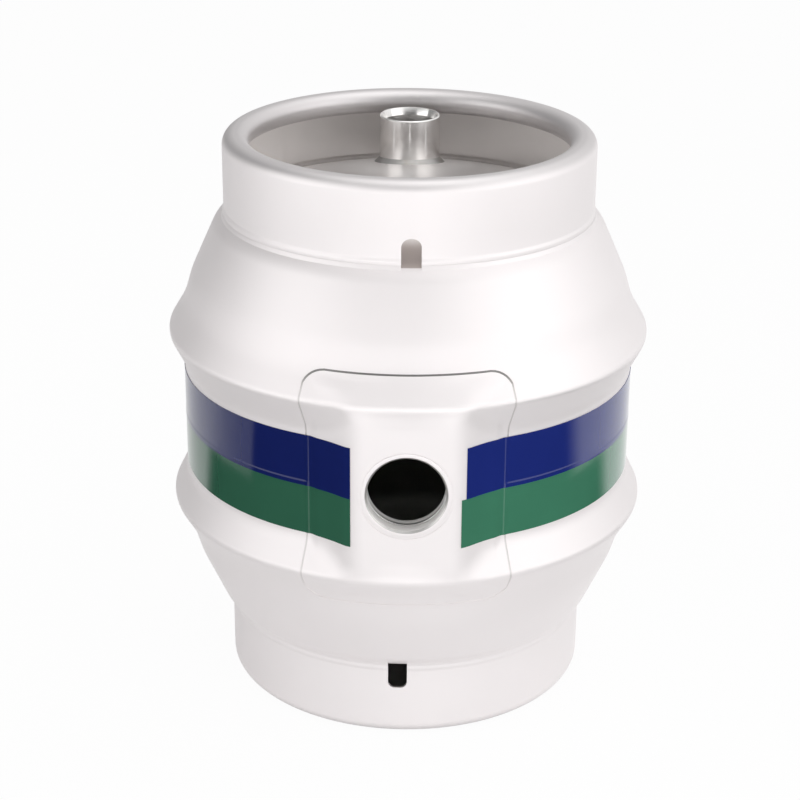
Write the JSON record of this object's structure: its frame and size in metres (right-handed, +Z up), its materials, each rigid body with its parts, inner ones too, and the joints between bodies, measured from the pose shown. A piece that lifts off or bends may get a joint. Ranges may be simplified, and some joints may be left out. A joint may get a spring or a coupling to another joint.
{
  "type": "beer cask",
  "caption": "Upright stainless steel beer cask with rolling rings, slotted rolled chimes, a filling bush in a flat front pad, a tap bush on the head and coloured tape bands.",
  "frame": {"origin": "on the floor under the cask's axis, at the centre of the bottom chime's rim", "axes": "+Z up along the cask's axis, -Y out of the filling bush in the front pad, +X to the right of that bush seen from the front"},
  "size_m": [0.3328, 0.3328, 0.395],
  "materials": {
    "satin_steel": "bead-blasted satin stainless steel",
    "turned_steel": "bright turned stainless steel",
    "weld_steel": "dressed weld",
    "blue_tape": "glossy vinyl tape",
    "green_tape": "glossy vinyl tape"
  },
  "bodies": {
    "root": {"upper_shell": "satin_steel", "lower_shell": "satin_steel", "girth_weld": "weld_steel", "shive_plate": "satin_steel", "shive_plate_weld": "weld_steel", "shive_bush": "turned_steel", "shive_bush_weld": "weld_steel", "keystone_bush": "turned_steel", "keystone_bush_weld": "weld_steel", "top_chime": "satin_steel", "top_chime_weld": "weld_steel", "bottom_chime": "satin_steel", "bottom_chime_weld": "weld_steel", "blue_band": "blue_tape", "green_band": "green_tape"}
  },
  "joints": []
}
